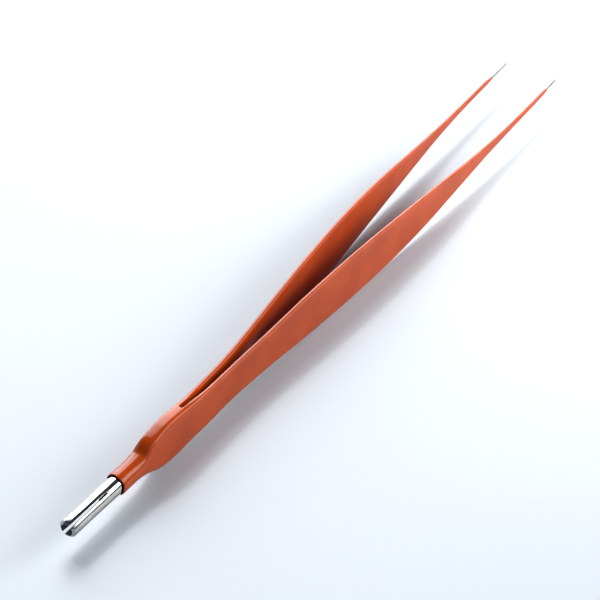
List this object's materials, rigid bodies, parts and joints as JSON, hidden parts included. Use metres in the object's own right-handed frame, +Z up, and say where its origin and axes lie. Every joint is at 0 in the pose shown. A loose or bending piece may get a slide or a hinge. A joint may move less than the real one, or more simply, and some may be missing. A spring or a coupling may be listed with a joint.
{
  "type": "monopolar diathermy forceps",
  "caption": "Spring forceps in an insulating coat, with a split contact pin at the rear and bare steel tips that close by squeezing the leaves.",
  "frame": {"origin": "on the contact pin's axis, at the rear rim of the insulating coat, where a cable socket seats", "axes": "+X along the pin's axis towards the tips, +Y towards the left leaf, +Z up with the forceps lying on one side"},
  "size_m": [0.2001, 0.017, 0.0118],
  "materials": {
    "plated_pin": "bright nickel plate",
    "steel": "satin stainless steel",
    "insulation": "satin dipped polyamide coat, orange"
  },
  "bodies": {
    "root": {"contact_pin": "plated_pin", "butt": "steel", "butt_insulation": "insulation"},
    "left_jaw": {"left_leaf": "steel", "left_insulation": "insulation"},
    "right_jaw": {"right_leaf": "steel", "right_insulation": "insulation"}
  },
  "joints": [
    {"name": "left_squeeze", "type": "hinge", "parent": "root", "child": "left_jaw", "pos_m": [0.028, 0.00115, 0], "axis": [0, 0, -1], "range_deg": [0, 2.45], "stiffness_Nm_per_rad": 4},
    {"name": "right_squeeze", "type": "hinge", "parent": "root", "child": "right_jaw", "pos_m": [0.028, -0.00115, 0], "axis": [0, 0, 1], "range_deg": [0, 2.45], "stiffness_Nm_per_rad": 4}
  ]
}
